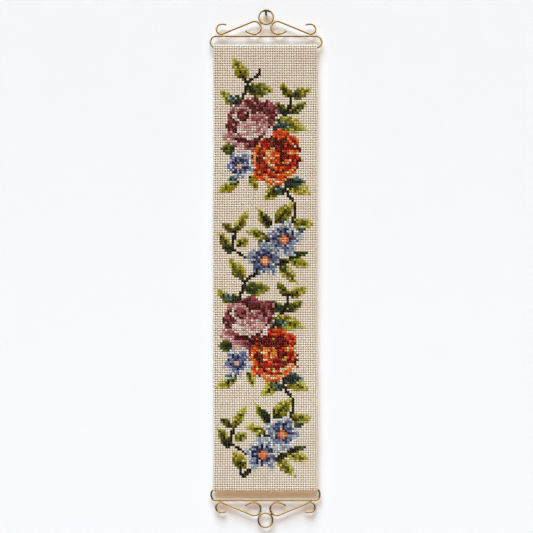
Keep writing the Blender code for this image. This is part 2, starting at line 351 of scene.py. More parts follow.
def yarn_finish(name, base, plies, twist):
    """Spun yarn: its piece's own tones with their painted shade, mottled, with twisted plies
    raised along the strand, and painted shade between the plies.

    The piece's UV map has millimetres along the strand in u, and once round the strand in v.
    """
    finish = Finish(name)
    place = finish.place()
    u, v, _ = finish.parts(finish.node("ShaderNodeUVMap", {"uv_map": "strand"})("UV"))
    ply = (((v * plies) + (u * twist)) * (2 * math.pi)).sine() * 0.5 + 0.5
    fuzz = finish.noise(2600, 3, place)
    patch = finish.noise(55, 3, place)
    tone = finish.node("ShaderNodeAttribute", {"attribute_name": "tone"})("Color")
    tinted = finish.mix(1.0, tone, base, "MULTIPLY")
    # Painted shade: the colour is darker down between the twisted plies.
    depth = (0.70 + ply * 0.26 + fuzz * 0.12).clamped()
    dark = finish.mix(1.0, tinted, (0.52, 0.46, 0.40), "MULTIPLY")
    shaded = finish.mix(depth, dark, tinted)
    worn = finish.mix(((patch - 0.45) * 1.2).clamped(), shaded, (0.86, 0.80, 0.70), "MULTIPLY")
    height = ply + fuzz * 0.5
    return finish.principled({
        "Base Color": worn,
        "Roughness": 0.82 + (fuzz - 0.5) * 0.16,
        "Normal": finish.bump(height, 0.55, 0.00012),
        "Specular IOR Level": 0.06,
    })


def hole_shade_finish(name, base):
    """The sheet under the bundles, mottled: its dark colour is painted shade, as the shade down in the
    holes.
    """
    finish = Finish(name)
    place = finish.place()
    mottle = finish.noise(900, 3, place)
    return finish.principled({
        "Base Color": finish.mix(mottle, base, tuple(1.6 * c for c in base)),
        "Roughness": 0.95,
        "Normal": finish.bump(mottle, 0.4, 0.0001),
        "Specular IOR Level": 0.1,
    })


def brass_finish(brass, tarnish):
    """Drawn brass wire: polished, with brown tarnish in patches and fine drawing marks.

    The piece's tone is 1 on the lower side of the wire, whose colour is painted dark there as shade.
    """
    finish = Finish("drawn_brass")
    place = finish.place()
    patch = finish.noise(160, 5, place)
    speck = finish.noise(1500, 4, place)
    marks = finish.noise(420, 3, finish.stretched(place, (1.0, 6.0, 6.0)))
    aged = ((patch - 0.50) * 3.0 + (speck - 0.5) * 0.6).clamped()
    tone = finish.node("ShaderNodeAttribute", {"attribute_name": "tone"})("Vector")
    # Painted shade: the lower side of the wire is coloured dark brown.
    under = (finish.parts(tone)[0] * (0.8 + patch * 0.4)).clamped()
    underside_shade_colour = tuple(0.30 * c for c in tarnish)
    return finish.principled({
        "Base Color": finish.mix(under * 0.95, finish.mix(aged * 0.45, brass, tarnish), underside_shade_colour),
        "Metallic": 1.0,
        "Roughness": 0.17 + aged * 0.14 + marks * 0.12,
        "Normal": finish.bump(marks + speck * 0.4, 0.16, 0.00004),
    })


def paint_finish(base):
    """Black stoved paint on steel: nearly matt, with a little orange peel and rubbed patches."""
    finish = Finish("black_paint")
    place = finish.place()
    peel = finish.noise(1400, 2, place)
    rubbed = ((finish.noise(380, 4, place) - 0.62) * 5).clamped()
    return finish.principled({
        "Base Color": finish.mix(rubbed, base, (0.05, 0.048, 0.045)),
        "Roughness": 0.38 + peel * 0.18,
        "Normal": finish.bump(peel, 0.25, 0.00006),
        "Coat Weight": 0.15,
    })


def backdrop_finish(base):
    """A plain pale surface that is clear from behind, and lets the light behind it through."""
    finish = Finish("pale_backdrop")
    behind = finish.node("ShaderNodeNewGeometry")("Backfacing")
    passing = finish.node("ShaderNodeLightPath")("Is Shadow Ray")
    clear = behind.math("MAXIMUM", behind, passing)
    matt = finish.node("ShaderNodeBsdfDiffuse", {}, {"Color": base})("BSDF")
    glass = finish.node("ShaderNodeBsdfTransparent")("BSDF")
    mixed = finish.node("ShaderNodeMixShader", {}, {0: clear, 1: matt, 2: glass})("Shader")
    finish.links.new(mixed.socket, finish.output.inputs["Surface"])
    return finish.material


# Meshes


Skin = namedtuple("Skin", "points faces uvs tones")


def packed(*parts):
    """Arrays of one shape as the last axis of one array."""
    return np.stack(parts, axis=-1)


def grid_quads(number):
    """Corners of each square of a grid of point numbers, which fills the last two axes."""
    return packed(
        number[..., :-1, :-1], number[..., 1:, :-1], number[..., 1:, 1:], number[..., :-1, 1:]
    )


def tube_skin(points, along, tones=None, closed=False):
    """Faces of many tubes at once.

    points has the axes tube, ring, side and x, y, z; each ring is joined to the next, and both
    ends get a flat cap unless the tubes close on themselves. In the UV map u is along, in
    millimetres, and v goes once round.
    """
    tubes, rings, sides = points.shape[:3]
    number = np.arange(tubes * rings * sides).reshape(tubes, rings, sides)
    if closed:
        number = np.concatenate([number, number[:, :1]], axis=1)
        step = along[:, 1:2] - along[:, :1]
        along = np.concatenate([along, along[:, -1:] + step], axis=1)
    round_again = np.concatenate([number, number[:, :, :1]], axis=2)
    quads = grid_quads(round_again)[..., [0, 3, 2, 1]]
    near = np.broadcast_to(along[:, :-1, None], quads.shape[:3])
    far = np.broadcast_to(along[:, 1:, None], quads.shape[:3])
    turn = np.broadcast_to(np.arange(sides) / sides, quads.shape[:3])
    after = turn + 1 / sides
    u = packed(near, near, far, far)
    v = packed(turn, after, after, turn)
    faces = [quads.reshape(-1, 4)]
    uvs = [packed(u, v).reshape(-1, 2)]
    if not closed:
        for caps, place in ((number[:, 0, ::-1], along[:, 0]), (number[:, -1], along[:, -1])):
            faces.append(caps.reshape(-1, sides))
            flat = np.zeros((tubes, sides, 2))
            flat[:, :, 0] = place[:, None]
            flat[:, :, 1] = np.arange(sides) / sides
            uvs.append(flat.reshape(-1, 2))
    if tones is not None:
        tones = np.broadcast_to(tones, (tubes, rings, sides, 3)).reshape(-1, 3)
    return Skin(points.reshape(-1, 3), faces, uvs, tones)


def join_skins(skins):
    """Several skins as one, with the later ones' faces renumbered."""
    starts = np.cumsum([0] + [len(s.points) for s in skins])
    faces = [f + start for s, start in zip(skins, starts) for f in s.faces]
    uvs = [u for s in skins for u in s.uvs]
    tones = None if skins[0].tones is None else np.concatenate([s.tones for s in skins])
    return Skin(np.concatenate([s.points for s in skins]), faces, uvs, tones)


def add_piece(name, skin, material, replaces=()):
    """A smooth mesh object at the origin from a skin's arrays, riding on the hanging."""
    mesh = bpy.data.meshes.new(name)
    corners = np.concatenate([f.ravel() for f in skin.faces]).astype(np.int32)
    sizes = np.concatenate([np.full(len(f), f.shape[1]) for f in skin.faces])
    starts = np.concatenate([[0], np.cumsum(sizes)[:-1]]).astype(np.int32)
    mesh.vertices.add(len(skin.points))
    mesh.vertices.foreach_set("co", skin.points.astype(np.float32).ravel())
    mesh.loops.add(len(corners))
    mesh.loops.foreach_set("vertex_index", corners)
    mesh.polygons.add(len(sizes))
    mesh.polygons.foreach_set("loop_start", starts)
    mesh.polygons.foreach_set("use_smooth", np.ones(len(sizes), bool))
    mesh.update(calc_edges=True)
    if skin.uvs:
        layer = mesh.uv_layers.new(name="strand")
        layer.data.foreach_set("uv", np.concatenate(skin.uvs).astype(np.float32).ravel())
    if skin.tones is not None:
        # The tone attribute carries each piece's own tones together with its painted shade.
        layer = mesh.color_attributes.new("tone", "FLOAT_COLOR", "POINT")
        tones = np.concatenate([skin.tones, np.ones((len(skin.tones), 1))], axis=1)
        layer.data.foreach_set("color", tones.astype(np.float32).ravel())
    mesh.materials.append(material)
    piece = bpy.data.objects.new(name, mesh)
    bpy.context.scene.collection.objects.link(piece)
    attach(piece, "root")
    if replaces:
        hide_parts(*replaces)
    return piece


def round_outline(sides):
    """A circle of radius 1 as (aside, up) points."""
    turn = 2 * np.pi * np.arange(sides) / sides
    return packed(np.cos(turn), np.sin(turn))


# How the canvas lies


def ease(share_of_way):
    clipped = np.clip(share_of_way, 0, 1)
    return clipped * clipped * (3 - 2 * clipped)


def wave(turns):
    return np.sin(2 * np.pi * turns)


def hang(points):
    """Moves points of the flat band to where it hangs: a slow sway, a ripple, uneven edges."""
    x, y, z = points[..., 0], points[..., 1], points[..., 2]
    run = (CLOTH_TOP_Z - z) / CLOTH_LENGTH
    across = x / (CLOTH_WIDTH / 2)
    near = np.minimum(TOP_ROD_Z - z, z - BOTTOM_ROD_Z) / FADE
    amount = ease(near)
    sway = SWAY * wave(SWAY_TURNS * run + SWAY_START)
    ripple = RIPPLE * wave(RIPPLE_TURNS * run + RIPPLE_SKEW * across)
    cup = -RIPPLE * across**2
    drift = EDGE_DRIFT * wave(DRIFT_TURNS * run + DRIFT_START)
    narrowing = EDGE_DRIFT * across * wave(NARROWING_TURNS * run) / 2
    hung_x = x + CLOTH_CENTRE_X + (drift + narrowing) * amount
    hung_y = y + PLANE_Y + (sway + ripple + cup) * amount
    return packed(hung_x, hung_y, z)


def band_path():
    """Middle line of the band in the YZ plane, from tail to tail round both rods.

    Each run is a length and the heading that it ends with, in degrees: 0 is up, 180 is down.
    The headings turn evenly along a run, and the line is their running sum. The result's
    columns are the distance from the top of the loop, y, z and heading in radians.
    """
    half = CLOTH_THICKNESS / 2
    middle = SLEEVE_RADIUS + half
    lean_turn = 2 * math.atan(SLEEVE_RADIUS / SLEEVE_TAPER)
    lean = math.degrees(lean_turn)
    bend = BEND_RADIUS * lean_turn
    aside = middle * math.cos(lean_turn) - (half - SLEEVE_RADIUS)
    slope = (aside - BEND_RADIUS * (1 - math.cos(lean_turn))) / math.sin(lean_turn)
    drop = (middle + BEND_RADIUS) * math.sin(lean_turn) + slope * math.cos(lean_turn)
    slack = SLEEVE_RADIUS - ROD_RADIUS - GAP
    top_axis = TOP_ROD_Z - slack
    bottom_axis = BOTTOM_ROD_Z + slack
    over = middle * (math.pi + lean_turn)
    tail = SLEEVE_TAIL - slack - drop
    runs = [
        (tail, 0), (bend, -lean), (slope, -lean), (over, 180), (top_axis - bottom_axis, 180),
        (over, 360 + lean), (slope, 360 + lean), (bend, 360), (tail, 360),
    ]
    lengths = np.array([r[0] for r in runs])
    ends = np.cumsum(lengths)
    headings = np.radians([0] + [r[1] for r in runs])
    distance = np.linspace(0, ends[-1], PATH_STEPS)
    heading = np.interp(distance, np.concatenate([[0], ends]), headings)
    step = distance[1]
    middle_heading = (heading[1:] + heading[:-1]) / 2
    y = half - SLEEVE_RADIUS - np.concatenate([[0], np.cumsum(np.sin(middle_heading) * step)])
    z = np.concatenate([[0], np.cumsum(np.cos(middle_heading) * step)])
    z += top_axis - drop - tail
    apex = ends[3] - middle * math.pi / 2
    marks = {"sleeve": ends[2] - apex, "bottom_sleeve": ends[5] - apex}
    return distance - apex, y, z, heading, marks


PATH_V, PATH_Y, PATH_Z, PATH_TURN, PATH_MARKS = band_path()


def lay(places):
    """Puts places on the cloth, as (across, along, above) in metres, where they hang in space.

    Along follows the band's middle line. Across bends round the folded side edges and runs
    back behind. Above is measured outwards from the face that carries the stitches.
    """
    across, along, above = places[..., 0], places[..., 1], places[..., 2]
    y = np.interp(along, PATH_V, PATH_Y)
    z = np.interp(along, PATH_V, PATH_Z)
    turn = np.interp(along, PATH_V, PATH_TURN)
    side = np.sign(across)
    past = np.maximum(np.abs(across) - FLAT_HALF, 0)
    bend = np.minimum(past / FOLD_RADIUS, np.pi)
    back = past - bend * FOLD_RADIUS
    x = side * (np.minimum(np.abs(across), FLAT_HALF) + FOLD_RADIUS * np.sin(bend) - back)
    x = x + side * above * np.sin(bend)
    out = above * np.cos(bend) - FOLD_RADIUS * (1 - np.cos(bend))
    return hang(packed(x, y + out * np.cos(turn), z + out * np.sin(turn)))


def row_line(row):
    """Distance along the cloth of the line above a row of squares; rows close up downwards."""
    return ROW_START + ROW_PITCH * row - ROW_CLOSING * row**2


def column_line(column):
    return (column - COLUMNS / 2) * PITCH


def fold_offsets():
    """Offsets from the cloth's middle, in squares, of the rings that bend round a side edge."""
    start = FLAT_HALF / PITCH
    return np.linspace(start, start + math.pi * FOLD_RADIUS / PITCH, FOLD_RINGS)


# The weave


BUNDLE_OUTLINE = np.array([(1.0, -0.8), (0.70, 0.95), (-0.70, 0.95), (-1.0, -0.8)])
# Painted shade for each outline point: a bundle's lower sides are coloured darker.
BUNDLE_SHADE = np.array([0.8, 1.0, 1.0, 0.8])


def strand(centre, across, half_width, half_thickness, outline):
    """Skin of strands lying on the cloth: every centre plus the outline's two parts.

    centre is (..., 3) in the cloth's own coordinates and across is (..., 2), the unit direction
    of the strand's width. The outline's first part is taken across and its second part above.
    """
    aside = outline[:, 0] * half_width[..., None]
    rise = outline[:, 1] * half_thickness[..., None]
    return packed(
        centre[..., 0, None] + across[..., 0, None] * aside,
        centre[..., 1, None] + across[..., 1, None] * aside,
        centre[..., 2, None] + rise,
    )


def bundle_tones(count, random):
    """Close tones of one undyed yarn, one for each bundle: a common level and a warm shift."""
    level = 1 + random.normal(0, 0.035, (count, 1))
    warmth = random.normal(0, 0.012, (count, 1)) * np.array([1, 0, -1.6])
    return np.clip(level + warmth - 0.03, 0, 1)


def bundle_stations(first, last, extra=()):
    """Places along a bundle, in squares: each line of the grid, and a quarter to each side."""
    lines = np.arange(first, last + 1)
    places = np.concatenate([lines, lines[:-1] + 0.25, lines[1:] - 0.25, extra])
    return np.unique(np.round(places, 4))


def bundle_tubes(place, square, width, settings, random):
    """How bundles rise and narrow along their length, and the painted shade in their colour.

    The rise is a cosine that changes sign from one square to the next. At the lines between
    squares the bundle is level with the ground and narrowest, and its colour is painted
    darkest there, as the shade in the groove.
    """
    crossing = np.abs(np.cos(np.pi * (place - 0.5)))
    rise = settings.crimp * np.cos(np.pi * (place - 0.5)) * np.where(np.floor(square) % 2, 1, -1)
    half_width = width / 2 * (0.80 + 0.20 * np.minimum(1, 1.4 * crossing))
    half_width = half_width * (1 + random.normal(0, 0.015, place.shape))
    half_thickness = settings.thickness / 2 * (0.85 + 0.15 * crossing)
    shade = settings.groove_shade + (1 - settings.groove_shade) * np.minimum(1, 1.4 * crossing)
    colours = bundle_tones(len(place), random)[:, None, None, :]
    shades = (shade[..., None] * BUNDLE_SHADE)[..., None] * colours
    return rise, half_width, half_thickness, shades


def bundle_skin(way, numbers, first, last, settings, random):
    """Bundles of warp, down the cloth, or of weft, across it, each over one and under the next.

    numbers are the squares' columns or rows that the bundles fill, and they run from the line
    first to the line last. Weft has extra rings where it bends round the side edges.
    """
    warp = way == "warp"
    fold = fold_offsets()[1:-1]
    extra = np.concatenate([COLUMNS / 2 + fold, COLUMNS / 2 - fold])
    extra = extra[(extra > first) & (extra < last) & (not warp)]
    place, square = np.meshgrid(bundle_stations(first, last, extra), np.asarray(numbers) + 0.5)
    width = getattr(settings, f"{way}_width")
    rise, half_width, half_thickness, shades = bundle_tubes(place, square, width, settings, random)
    wander = random.normal(0, BUNDLE_WANDER, place.shape)
    if warp:
        run = row_line(place)
        centre = packed(column_line(square) + wander, run, rise)
    else:
        run = column_line(place)
        centre = packed(run, row_line(square) + wander, -rise)
    direction = np.broadcast_to([1.0, 0.0] if warp else [0.0, -1.0], place.shape + (2,))
    places = strand(centre, direction, half_width, half_thickness, BUNDLE_OUTLINE)
    return tube_skin(lay(places), run / MILLIMETRE, shades)


# The stitched design


def tones(text):
    """Linear colours from plain six-figure sRGB codes, darkest thread first."""
    codes = [[int(code[i:i + 2], 16) / 255 for i in (0, 2, 4)] for code in text.split()]
    return [tuple(((c + 0.055) / 1.055) ** 2.4 for c in code) for code in codes]


RAMPS = {
    "mauve": tones("420911 701c27 9f4b55 c47f7e dcaaa1 f0ccc0 fce8de"),
    "red": tones("4c050d 840b0f bc1807 ea400a fc7220 ffac56 ffdeb2"),
    "cornflower": tones("1a1c4c 3e4a7c 747fa6 aeb8c6 e4e8e6"),
    "dusk": tones("121a40 313e66 606e96 949fb4 c4cacd ecebe4"),
    "eye": tones("ea6628 ff8a48 ffc498"),
    "leaf": tones("131907 37400a 6a650e 9d921b c7bc47 e2d983"),
    "pine": tones("07100a 1a361a 374e17 6a6d13 a39a36 cfc666"),
    "teal": tones("0a1b17 29463e 577869 98b2a6 d0dac8"),
    "stem": tones("060c06 142010"),
}
FAMILIES = {
    "stitches_mauve_rose": ["mauve"],
    "stitches_red_rose": ["red"],
    "stitches_blue_flowers": ["cornflower", "dusk", "eye"],
    "stitches_leaves": ["leaf", "pine", "teal", "stem"],
}
REPEAT = np.array([-1, 84])
MAUVE_HEART = (13.4, 28.6)
RED_HEART = (27.2, 47.0)
STEM_WIDTH = 0.62
BAND_SPACING = 2.7

Leaf = namedtuple("Leaf", "base_col base_row tip_col tip_row width ramp dark light")
Petal = namedtuple("Petal", "col row wide high turn dark light lit_from")
Flower = namedtuple("Flower", "col row reach turn ramp")


def table(kind, text):
    """One record of this kind from each line of text: numbers, and the names of ramps."""
    rows = [line.split() for line in text.strip().splitlines()]
    return [kind(*(word if word in RAMPS else float(word) for word in row)) for row in rows]


MAUVE_ROSE = table(Petal, """
    14.8 26.2 4.6 3.5 -15 0.00 0.40 120
    17.0 24.9 2.9 3.2 0 0.02 0.34 60
    23.0 27.7 4.2 4.6 0 0.00 0.32 60
    22.2 33.7 3.4 5.8 28 0.02 0.38 0
    10.3 28.6 4.2 3.6 -20 0.16 0.60 120
    8.1 32.8 2.7 4.6 0 0.02 0.42 0
    12.4 43.0 3.4 2.4 0 0.42 0.86 270
    17.1 41.7 3.8 3.3 0 0.00 0.36 250
    8.5 39.0 4.4 2.9 5 0.22 0.78 225
    15.0 39.7 5.6 1.5 0 -0.05 0.24 270
    16.6 34.2 7.5 4.9 -16 0.44 0.90 235
    19.2 30.2 3.2 2.2 -10 0.22 0.66 90
    12.3 29.3 3.9 3.4 -10 0.54 0.84 200
    12.5 29.4 2.7 2.3 -10 0.00 0.40 130
    22.9 37.0 0.8 3.7 34 0.66 1.00 0
""")
RED_ROSE = table(Petal, """
    27.0 47.8 9.8 9.6 0 0.02 0.60 200
    27.2 41.6 6.8 3.6 0 -0.04 0.26 160
    28.0 37.5 3.8 2.1 -5 0.42 0.64 90
    33.2 40.5 3.2 2.2 8 0.28 0.58 90
    18.9 47.0 2.9 4.2 12 0.20 0.70 180
    20.1 53.2 3.2 4.1 18 0.12 0.68 210
    26.2 56.3 4.5 2.9 -6 0.26 0.90 270
    31.6 52.8 3.7 3.2 -34 0.16 0.94 320
    31.6 46.6 4.4 4.2 12 -0.04 0.46 0
    24.8 47.2 3.2 3.6 -8 0.42 0.84 150
    33.2 45.2 3.2 0.9 14 0.50 0.96 0
    31.0 49.0 2.6 0.9 -24 0.44 0.90 0
    19.6 48.4 1.4 1.6 0 -0.10 0.16 0
""")
ROSE_LEAVES = table(Leaf, """
    14.2 14.6 8.6 6.2 2.6 leaf 0.25 0.95
    14.4 18.9 24.8 18.9 2.8 pine 0.15 0.95
    9.6 25.6 3.0 19.4 1.8 leaf 0.35 0.95
    11.6 25.2 6.0 21.0 2.2 pine 0.0 0.6
    9.8 23.4 6.2 21.4 1.1 teal 0.3 0.8
    32.4 22.0 28.2 16.2 1.5 leaf 0.2 0.75
    33.0 21.6 40.9 18.6 2.0 leaf 0.2 0.9
    32.6 28.2 39.2 24.0 1.8 pine 0.25 1.0
    30.6 29.6 26.4 24.0 1.6 pine 0.05 0.6
    27.0 31.8 38.9 35.4 3.0 leaf 0.35 0.95
    24.8 35.0 32.5 33.4 1.5 teal 0.05 0.7
    9.4 43.6 3.2 43.4 2.3 pine 0.15 0.75
    10.4 57.6 2.4 61.6 2.0 leaf 0.35 1.0
    10.8 55.6 5.6 57.0 1.3 teal 0.35 0.8
    15.4 55.0 18.8 61.2 1.7 leaf 0.4 0.95
    27.8 59.6 21.6 64.6 2.6 leaf 0.15 0.85
    31.0 57.4 40.9 62.6 2.9 leaf 0.3 0.95
    30.4 58.0 38.6 57.4 2.2 teal 0.0 0.55
    30.6 61.4 26.2 60.6 1.4 teal 0.1 0.7
""")
ROSE_STEMS = [
    [(19.5, 10.3), (19.3, 12.4), (17.2, 13.8), (14.6, 16.0)],
    [(12.4, 13.8), (14.2, 16.4), (14.0, 18.2), (13.0, 20.2), (12.5, 24.0)],
    [(32.6, 21.4), (32.4, 24.4), (31.6, 27.6), (30.6, 29.2)],
    [(31.0, 57.0), (30.0, 60.0), (31.4, 62.6), (33.6, 65.4)],
]
PAIR_LEAVES = table(Leaf, """
    26.2 74.8 33.8 66.4 2.9 leaf 0.1 0.95
    23.6 76.4 18.8 68.8 1.8 leaf 0.4 0.95
    24.4 76.2 20.6 70.6 1.7 pine 0.05 0.55
    9.6 78.6 14.4 70.0 1.9 leaf 0.3 1.0
    8.4 78.6 4.2 74.8 1.5 leaf 0.3 0.6
    7.2 85.8 2.8 78.8 1.8 leaf 0.2 0.75
    8.8 86.4 4.0 85.0 1.5 pine 0.0 0.5
    10.6 84.2 15.0 81.6 1.8 leaf 0.35 0.8
    22.4 80.4 14.4 78.2 1.6 leaf 0.3 1.0
    24.4 82.6 18.4 81.8 2.1 leaf 0.1 0.75
    33.6 75.0 42.2 75.0 2.2 leaf 0.4 0.9
    38.8 77.4 34.6 78.2 1.0 teal 0.2 0.7
    27.8 92.0 35.4 100.4 2.3 leaf 0.3 1.0
    32.2 90.6 41.0 92.8 1.8 leaf 0.45 1.0
    27.0 91.8 32.4 91.2 1.2 pine 0.0 0.35
    32.4 89.2 39.4 87.4 1.4 pine 0.0 0.6
""")
PAIR_STEMS = [
    [(34.6, 67.0), (34.4, 71.0), (33.2, 74.6)],
    [(9.3, 79.0), (8.7, 83.0), (7.4, 86.0)],
    [(9.2, 86.6), (12.0, 88.2), (14.6, 90.2)],
    [(18.8, 94.3), (17.0, 96.8), (14.6, 99.2)],
]
LAST_LEAF = Leaf(15.4, 12.6, 9.9, 5.4, 2.5, "leaf", 0.25, 0.95)
LAST_STEM = [(13.2, 12.6), (13.4, 15.0), (14.4, 16.2), (16.0, 16.0), (17.2, 14.6)]


class Chart:
    """The squares of the canvas, each with the number of its thread, or -1 where it is bare."""

    def __init__(self, seed):
        self.row, self.col = np.mgrid[0:CHART_ROWS, 0:COLUMNS] + 0.5
        random = np.random.default_rng(seed)
        self.mottle = random.uniform(-0.5, 0.5, self.row.shape)
        self.fleck = (random.uniform(0, 1, self.row.shape) > 0.94) * 0.38
        self.thread = np.full(self.row.shape, -1)
        counts = [len(ramp) for ramp in RAMPS.values()]
        self.first = dict(zip(RAMPS, np.cumsum([0] + counts)[:-1]))

    def stitch(self, mask, ramp, level, mottling):
        """Fills squares with a ramp's threads: level 0 is its darkest and 1 its palest."""
        count = len(RAMPS[ramp])
        tone = np.clip(((level + mottling * self.mottle) * count).astype(int), 0, count - 1)
        self.thread[mask] = (self.first[ramp] + tone)[mask]

    def leaf(self, item, shift):
        """A pointed oval from base to tip: its half width is a sine of the way along.

        It is paler towards the tip, the upper half and the edge, and darker on the mid-rib.
        """
        base = np.array([item.base_col, item.base_row]) + shift
        axis = np.array([item.tip_col, item.tip_row]) + shift - base
        reach = np.hypot(*axis)
        axis = axis / reach
        along = ((self.col - base[0]) * axis[0] + (self.row - base[1]) * axis[1]) / reach
        aside = (self.row - base[1]) * axis[0] - (self.col - base[0]) * axis[1]
        inside = np.clip(along, 0, 1)
        edge = item.width * np.sin(np.pi * inside**0.8) ** 0.75 + 0.25
        upper = aside * np.sign(axis[0] + 0.01) < 0
        level = item.dark + (item.light - item.dark) * (0.75 * inside + 0.25 * upper)
        level = level - 0.22 * (np.abs(aside) < 0.55) * (along < 0.8)
        level = level + 0.15 * (np.abs(aside) / edge > 0.75)
        self.stitch((np.abs(aside) < edge) & (np.abs(along - 0.5) < 0.55), item.ramp, level, 0.5)

    def petal(self, item, shift, ramp, heart, ripple, mottling):
        """An ellipse, paler towards the side it is lit from, with bands curled round the heart.

        The bands are a cosine of the distance from the rose's heart, which gains a whole turn
        for each turn round it, so that they run as one spiral through all the petals.
        """
        turn = math.radians(item.turn)
        right = self.col - item.col - shift[0]
        down = self.row - item.row - shift[1]
        u = (right * math.cos(turn) + down * math.sin(turn)) / item.wide
        v = (down * math.cos(turn) - right * math.sin(turn)) / item.high
        reach = np.hypot(u, v)
        lit = math.radians(item.lit_from)
        facing = (right * math.cos(lit) - down * math.sin(lit)) / max(item.wide, item.high)
        away = self.col - heart[0] - shift[0], self.row - heart[1] - shift[1]
        band = np.cos(2 * np.pi * np.hypot(*away) / BAND_SPACING + np.arctan2(away[1], away[0]))
        pale = np.clip(0.5 + 0.5 * facing + ripple * band, 0, 1)
        level = item.dark + (item.light - item.dark) * pale + self.fleck
        self.stitch(reach < 1 + 0.2 * self.mottle, ramp, level, mottling)

    def flower(self, item, shift):
        """Five round petals: the outline's reach follows a cosine of five turns.

        It is dark at the eye, between the petals and down each middle, and pale outwards. The
        eye is round, with its middle on the nearest corner of the squares.
        """
        right = self.col - item.col - shift[0]
        down = self.row - item.row - shift[1]
        reach = np.hypot(right, down)
        lobe = np.abs(np.cos(2.5 * (np.arctan2(-down, right) - math.radians(item.turn))))
        part = reach / (item.reach * (0.62 + 0.38 * lobe**0.7))
        level = 0.16 + 0.66 * part**0.8 - 0.34 * (lobe < 0.34) * (part < 0.95)
        level = level - 0.36 * (lobe > 0.93) * (part < 0.6)
        self.stitch(part < 1 + 0.16 * self.mottle, item.ramp, level, 0.55)
        middle = np.round([item.col + shift[0], item.row + shift[1]])
        reach = np.hypot(self.col - middle[0], self.row - middle[1])
        eye = 0.4 + 0.4 * (reach < 0.14 * item.reach)
        self.stitch(reach < 0.255 * item.reach, "eye", eye, 0.5)

    def stem(self, points, shift):
        """A line of dark stitches: every square nearer to it than STEM_WIDTH, in squares."""
        points = np.array(points) + shift
        for start, end in zip(points[:-1], points[1:]):
            run = end - start
            part = (self.col - start[0]) * run[0] + (self.row - start[1]) * run[1]
            part = np.clip(part / (run @ run), 0, 1)
            gap = np.hypot(self.col - start[0] - part * run[0], self.row - start[1] - part * run[1])
            self.stitch(gap < STEM_WIDTH, "stem", 0.35, 1.0)

    def rose_group(self, shift):
        for points in ROSE_STEMS:
            self.stem(points, shift)
        for item in ROSE_LEAVES:
            self.leaf(item, shift)
        for item in MAUVE_ROSE:
            self.petal(item, shift, "mauve", MAUVE_HEART, 0.24, 0.36)
        self.flower(Flower(11.2, 50.6, 6.2, 52, "cornflower"), shift)
        for item in RED_ROSE:
            self.petal(item, shift, "red", RED_HEART, 0.34, 0.42)

    def flower_pair(self, shift):
        for points in PAIR_STEMS:
            self.stem(points, shift)
        for item in PAIR_LEAVES:
            self.leaf(item, shift)
        self.flower(Flower(29.8, 81.8, 8.0, 75, "dusk"), shift)
        self.flower(Flower(21.6, 90.6, 7.9, 20, "dusk"), shift)


def draw_design():
    """Both repeats of the design, and the last sprig below them."""
    chart = Chart(DESIGN_SEED)
    for turn in range(2):
        chart.rose_group(turn * REPEAT)
        chart.flower_pair(turn * REPEAT)
    chart.leaf(LAST_LEAF, 2 * REPEAT)
    chart.stem(LAST_STEM, 2 * REPEAT)
    return chart


# A leg's rings, as (share of the way, height in millimetres, share of the width), and its
# cut face, as (aside, above) points, with the painted shade of each
Leg = namedtuple("Leg", "stations outline shade")
STRAND_OUTLINE = np.array([(1.0, -0.1), (0.62, 0.85), (-0.62, 0.85), (-1.0, -0.1), (0.0, -0.9)])
# Painted shade: a strand's sides and underside are coloured darker.
STRAND_SHADE = np.array([0.45, 1.0, 1.0, 0.45, 0.3])
# The lower leg lies under the upper one and is painted darker still, as that shade.
LOWER_LEG = Leg(
    np.array([(0.06, -0.25, 0.6), (0.22, 0.62, 1.0), (0.78, 0.62, 1.0), (0.94, -0.25, 0.6)]),
    STRAND_OUTLINE,
    0.85 * STRAND_SHADE,
)
UPPER_LEG = Leg(
    np.array([
        (0.06, -0.25, 0.6), (0.2, 0.62, 0.95), (0.5, 1.0, 1.06), (0.8, 0.62, 0.95),
        (0.94, -0.25, 0.6),
    ]),
    STRAND_OUTLINE,
    STRAND_SHADE,
)
# A back leg's sides are painted darker as shade.
BACK_LEG = Leg(
    np.array([(0.1, 0.1, 0.7), (0.5, -0.78, 1.0), (0.9, 0.1, 0.7)]),
    np.array([(1.0, 0.3), (-1.0, 0.3), (0.0, -1.0)]),
    np.array([0.8, 0.8, 1.0]),
)


def leg_skin(start, end, leg, settings, colours, random):
    """One leg of each stitch, from hole to hole over the weave.

    A little of its way, height and width changes from stitch to stitch. A leg's colour has
    painted shade: darker down at its holes and along its sides.
    """
    share_of_way, height, width = leg.stations.T
    count = len(start)
    loose = 1 + random.normal(0, settings.unevenness / 2, (count, 1))
    way = np.broadcast_to(share_of_way, (count, len(share_of_way)))
    run = end - start
    flat = start[:, None, :] + run[:, None, :] * way[..., None]
    reach = np.hypot(run[:, 0], run[:, 1])[:, None]
    across = packed(run[:, 1], -run[:, 0]) / reach
    wander = random.normal(0, STITCH_WANDER, (count, 1)) * np.sin(np.pi * way)
    flat = flat + across[:, None, :] * wander[..., None]
    above = height * MILLIMETRE * (0.5 + 0.5 * loose)
    centre = np.concatenate([flat, above[..., None]], axis=-1)
    half_width = settings.strand_width / 2 * width * loose
    half_thickness = np.full(way.shape, settings.strand_thickness / 2)
    direction = np.broadcast_to(across[:, None, :], way.shape + (2,))
    places = strand(centre, direction, half_width, half_thickness, leg.outline)
    # Painted shade: the lower a ring lies, the darker its colour.
    depth = np.clip(0.62 + 0.6 * height, 0.35, 1)
    shades = (depth[:, None] * leg.shade)[None, :, :, None] * colours[:, None, None, :]
    return tube_skin(lay(places), way * reach / MILLIMETRE, shades)


def squares(chart, ramps):
    """Rows, columns and thread numbers of the squares stitched with these ramps."""
    numbers = [chart.first[r] + np.arange(len(RAMPS[r])) for r in ramps]
    row, column = np.nonzero(np.isin(chart.thread, np.concatenate(numbers)))
    return row, column, chart.thread[row, column]


